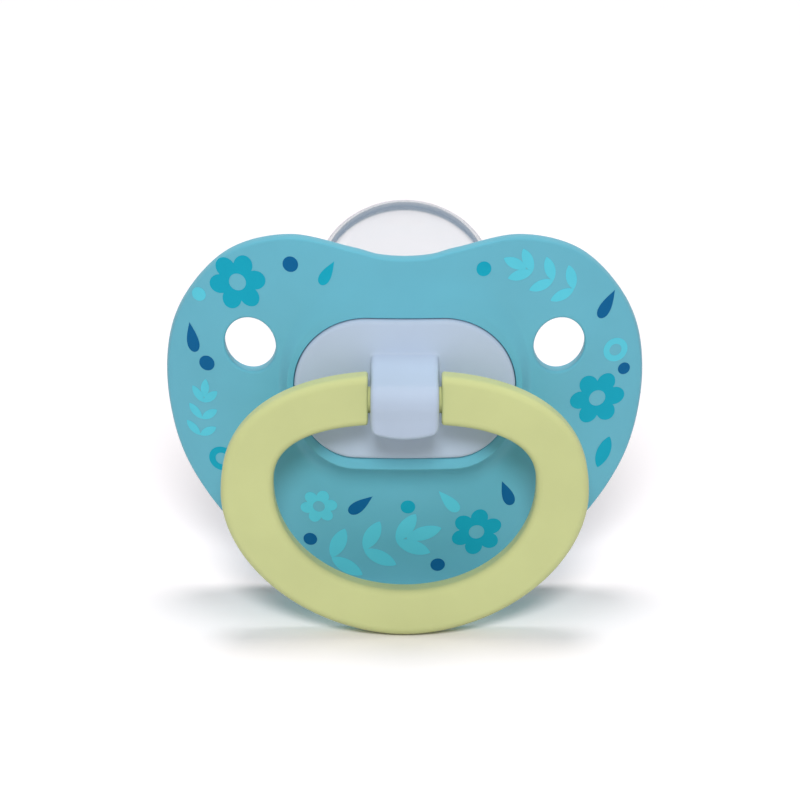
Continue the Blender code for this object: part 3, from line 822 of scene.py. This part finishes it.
def vary_roughness(tree, texture, shader, low, high):
    """Lets a noise move the roughness between two values."""
    gloss = tree.nodes.new("ShaderNodeMapRange")
    gloss.inputs["To Min"].default_value = low
    gloss.inputs["To Max"].default_value = high
    link(tree, texture, "Fac", gloss, "Value")
    link(tree, gloss, "Result", shader, "Roughness")


def moulded_plastic(name):
    """Satin moulded plastic: a faint drift of tone, uneven gloss and a fine mould texture."""
    colour, roughness, gloss_level = FINISHES[name]
    material, tree, shader = new_material(name)

    drift = noise(tree, TONE_SCALE, detail=3.0)
    darker = [(1 - TONE_DRIFT) * part for part in colour]
    lighter = [min((1 + TONE_DRIFT) * part, 1.0) for part in colour]
    tone = colour_ramp(tree, (0.3, darker), (0.7, lighter))
    link(tree, drift, "Fac", tone, "Fac")
    link(tree, tone, "Color", shader, "Base Color")
    vary_roughness(tree, drift, shader, roughness - GLOSS_DRIFT, roughness + GLOSS_DRIFT)

    grain = noise(tree, GRAIN_SCALE, detail=2.0)
    bump = tree.nodes.new("ShaderNodeBump")
    bump.inputs["Strength"].default_value = GRAIN_STRENGTH
    bump.inputs["Distance"].default_value = GRAIN_DEPTH
    link(tree, grain, "Fac", bump, "Height")
    link(tree, bump, "Normal", shader, "Normal")

    shader.inputs["IOR"].default_value = PLASTIC_IOR
    shader.inputs["Specular IOR Level"].default_value = gloss_level
    shader.inputs["Subsurface Weight"].default_value = GLOW_SHARE
    shader.inputs["Subsurface Scale"].default_value = GLOW_DEPTH
    shader.inputs["Subsurface Radius"].default_value = WHITE
    return material


def clear_silicone():
    """Clear rubber with a faint haze that varies over the wall, and painted blue-grey shade where it is
    seen edge-on.
    """
    material, tree, shader = new_material("clear_silicone")
    haze = noise(tree, HAZE_SCALE, detail=2.0)
    vary_roughness(tree, haze, shader, *HAZE_ROUGHNESS)
    # Painted shade: the colour turns from the face-on tint to a dark blue-grey where the wall is seen
    # edge-on, standing in for the dark rim of the clear wall.
    rim = tree.nodes.new("ShaderNodeLayerWeight")
    rim.inputs["Blend"].default_value = 0.5
    painted_edge_shade = colour_ramp(tree, (0.5, SILICONE_FACE), (0.92, SILICONE_PAINTED_EDGE_SHADE))
    link(tree, rim, "Facing", painted_edge_shade, "Fac")
    link(tree, painted_edge_shade, "Color", shader, "Base Color")
    shader.inputs["Transmission Weight"].default_value = 1.0
    shader.inputs["IOR"].default_value = SILICONE_IOR
    return material


def circle(size, turns):
    return size * np.cos(turns), size * np.sin(turns)


def flower(size, turns):
    """Round petals round a middle."""
    petals = np.abs(np.cos(PETALS / 2 * turns)) ** PETAL_ROUNDNESS
    reach = size * (PETAL_ROOT + (1 - PETAL_ROOT) * petals)
    return reach * np.cos(turns), reach * np.sin(turns)


def leaf(size, turns):
    """Pointed at both ends, along X."""
    width = LEAF_WIDTH * size * np.abs(np.sin(turns)) ** LEAF_POINT
    return size * np.cos(turns), width * np.sin(turns)


def drop(size, turns):
    """Round at one end and pointed at the other, along X."""
    width = DROP_WIDTH * size * np.sin(turns / 2) ** DROP_POINT
    return size * np.cos(turns), width * np.sin(turns)


def ink_patch(outline, x, z, turn, eye=None):
    """A closed film on the dome: a filled outline, or one round an open eye."""

    def lifted(shape, share, height):
        at_x = x + share * (shape[0] * math.cos(turn) - shape[1] * math.sin(turn))
        at_z = z + share * (shape[0] * math.sin(turn) + shape[1] * math.cos(turn))
        return [Vector(point) for point in np.column_stack([at_x, dome(at_x, at_z) - height, at_z])]

    rings = [lifted(outline, 1.0, -INK_SUNK), lifted(outline, 1.0, INK_PROUD)]
    if eye:
        rings += [lifted(eye, 1.0, INK_PROUD), lifted(eye, 1.0, -INK_SUNK)]
        return loft("ink", rings, closed=True)
    rings += [lifted(outline, share, INK_PROUD) for share in (0.75, 0.5, 0.25)]
    middle = dome(x, z)
    front = Vector((x, middle - INK_PROUD, z))
    back = Vector((x, middle + INK_SUNK, z))
    return loft("ink", rings, first_pole=back, last_pole=front)


def make_print(name, motifs):
    """All motifs of one colour; each is (shape, size, x, z, turn, eye) in mm and degrees, where the
    eye is the share of the size that is left open in the middle."""
    turns = np.linspace(0.0, 2 * math.pi, INK_POINTS, endpoint=False)
    film = bmesh.new()
    for shape, size, x, z, turn, eye in motifs:
        outline = shape(size * MM, turns)
        opening = circle(eye * size * MM, turns) if eye else None
        patch = ink_patch(outline, x * MM, z * MM, math.radians(turn), opening)
        film.from_mesh(patch)
        bpy.data.meshes.remove(patch)
    bmesh.ops.recalc_face_normals(film, faces=film.faces)
    return add_object(name, as_mesh(name, film))


def sprig(x, z, turn, length):
    """Leaves in pairs along a short twig, and one at its end."""
    along = math.radians(turn)
    size = SPRIG_LEAF * length
    leaves = []
    for share, spread in SPRIG_PAIRS:
        for side in (-1, 1):
            angle = along + side * math.radians(spread)
            leaf_x = x + share * length * math.cos(along) + size * math.cos(angle)
            leaf_z = z + share * length * math.sin(along) + size * math.sin(angle)
            leaves.append((leaf, size, leaf_x, leaf_z, math.degrees(angle), 0.0))
    end_x = x + SPRIG_END * length * math.cos(along)
    end_z = z + SPRIG_END * length * math.sin(along)
    leaves.append((leaf, size, end_x, end_z, turn, 0.0))
    return leaves


# Motifs of each ink, as make_print takes them
PALE_MOTIFS = [
    *sprig(17.8, 12.3, 152.0, 6.4),
    *sprig(-25.0, -6.3, 84.0, 5.0),
    *sprig(-4.6, -22.6, 18.0, 9.4),
    (flower, 2.3, -10.6, -16.9, 10.0, 0.32),
    (circle, 1.5, 25.9, 2.4, 0.0, 0.5),
    (circle, 0.85, -25.2, 9.6, 0.0, 0.0),
    (drop, 1.9, 5.4, -15.9, 130.0, 0.0),
]
TURQUOISE_MOTIFS = [
    (flower, 3.5, -20.4, 11.7, 12.0, 0.3),
    (flower, 3.4, 23.7, -3.6, 0.0, 0.3),
    (flower, 3.2, 8.9, -20.4, 20.0, 0.3),
    (circle, 1.6, -22.6, -11.6, 0.0, 0.5),
    (drop, 1.7, -9.4, 13.7, 60.0, 0.0),
    (circle, 0.9, 9.6, 14.2, 0.0, 0.0),
    (leaf, 2.1, 24.6, -11.0, 70.0, 0.0),
    (circle, 0.9, 0.4, -16.6, 0.0, 0.0),
]
DARK_MOTIFS = [
    (drop, 1.9, -26.1, 4.0, 100.0, 0.0),
    (circle, 0.95, -13.9, 14.5, 0.0, 0.0),
    (circle, 0.95, -24.3, 0.9, 0.0, 0.0),
    (drop, 1.9, 24.8, 8.4, 60.0, 0.0),
    (circle, 0.75, 27.0, -0.2, 0.0, 0.0),
    (drop, 1.9, -5.4, -16.4, 40.0, 0.0),
    (drop, 1.8, 12.6, -15.2, 110.0, 0.0),
    (circle, 0.9, 4.1, -24.9, 0.0, 0.0),
    (circle, 0.85, -11.7, -21.6, 0.0, 0.0),
]


def lit_or_seen(tree, lit, seen):
    """One shader for light, and another for what the camera, gloss and clear pieces see."""
    path = tree.nodes.new("ShaderNodeLightPath")
    direct = tree.nodes.new("ShaderNodeMath")
    direct.operation = "MAXIMUM"
    link(tree, path, "Is Camera Ray", direct, 0)
    link(tree, path, "Is Glossy Ray", direct, 1)
    either = tree.nodes.new("ShaderNodeMath")
    either.operation = "MAXIMUM"
    link(tree, direct, "Value", either, 0)
    link(tree, path, "Is Transmission Ray", either, 1)
    mix = tree.nodes.new("ShaderNodeMixShader")
    link(tree, either, "Value", mix, "Fac")
    tree.links.new(lit.outputs[0], mix.inputs[1])
    tree.links.new(seen.outputs[0], mix.inputs[2])
    return mix


def make_floor():
    """A pale floor that looks white and keeps the object's shadow."""
    shape = bmesh.new()
    bmesh.ops.create_grid(shape, x_segments=1, y_segments=1, size=FLOOR_SIZE)
    mesh = as_mesh("floor", shape)
    floor = add_object("floor", mesh, (0.0, 0.0, 0.0))
    material, tree, shader = new_material("floor")
    tree.nodes.remove(shader)
    paints = []
    for level in (FLOOR_LIGHT, FLOOR_SEEN):
        paint = tree.nodes.new("ShaderNodeBsdfDiffuse")
        paint.inputs["Color"].default_value = (*level, 1.0)
        paints.append(paint)
    mix = lit_or_seen(tree, *paints)
    tree.links.new(mix.outputs[0], tree.nodes["Material Output"].inputs["Surface"])
    mesh.materials.append(material)


def make_world():
    """White walls, which clear pieces bend into a darker room beyond."""
    world = bpy.data.worlds.new("studio")
    bpy.context.scene.world = world
    world.use_nodes = True
    tree = world.node_tree
    soft = tree.nodes["Background"]
    soft.inputs["Color"].default_value = (*WHITE, 1.0)
    soft.inputs["Strength"].default_value = WORLD_LIGHT
    room = tree.nodes.new("ShaderNodeBackground")
    path = tree.nodes.new("ShaderNodeLightPath")
    shade = colour_ramp(tree, (0.0, WHITE), (1.0, FAR_ROOM))
    link(tree, path, "Is Transmission Ray", shade, "Fac")
    link(tree, shade, "Color", room, "Color")
    mix = lit_or_seen(tree, soft, room)
    tree.links.new(mix.outputs[0], tree.nodes["World Output"].inputs["Surface"])


def add_lamp(name, azimuth, elevation, width, power):
    """A round softbox that faces the object."""
    data = bpy.data.lights.new(name, "AREA")
    data.shape = "DISK"
    data.size = width
    data.energy = power
    lamp = bpy.data.objects.new(name, data)
    lamp.visible_glossy = False
    lamp.visible_transmission = False
    bpy.context.scene.collection.objects.link(lamp)
    across = math.radians(azimuth)
    up = math.radians(elevation)
    away = Vector((math.sin(across) * math.cos(up), -math.cos(across) * math.cos(up), math.sin(up)))
    lamp.location = AXIS + away * LAMP_DISTANCE
    lamp.rotation_mode = "QUATERNION"
    lamp.rotation_quaternion = away.to_track_quat("Z", "Y")


def add_camera():
    data = bpy.data.cameras.new("camera")
    data.sensor_width = SENSOR_WIDTH
    data.lens = SENSOR_WIDTH * PIXELS_PER_METRE * CAMERA_DISTANCE / IMAGE_PIXELS
    camera = bpy.data.objects.new("camera", data)
    bpy.context.scene.collection.objects.link(camera)
    forward = Vector((0.0, math.cos(CAMERA_ELEVATION), -math.sin(CAMERA_ELEVATION)))
    camera.location = AXIS + CAMERA_TARGET - forward * CAMERA_DISTANCE
    camera.rotation_mode = "QUATERNION"
    camera.rotation_quaternion = forward.to_track_quat("-Z", "Y")
    bpy.context.scene.camera = camera


def main():
    add_camera()
    make_world()
    make_floor()
    for lamp in LAMPS:
        add_lamp(*lamp)

    dress(make_shield(), moulded_plastic("teal_plastic"), "soother", "shield")
    dress(make_teat(), clear_silicone(), "soother", "teat")
    dress(make_plug(), moulded_plastic("white_plastic"), "soother", "retaining_plug")
    dress(make_button(), moulded_plastic("pale_blue_plastic"), "soother", "button")
    dress(
        make_ring(), moulded_plastic("yellow_green_plastic"), "ring", "ring_handle"
    )

    inks = (
        ("print_pale_cyan", PALE_MOTIFS),
        ("print_turquoise", TURQUOISE_MOTIFS),
        ("print_dark_blue", DARK_MOTIFS),
    )
    for name, motifs in inks:
        dress(make_print(name, motifs), moulded_plastic(name), "soother")

    bpy.context.scene.view_settings.view_transform = "Standard"


main()
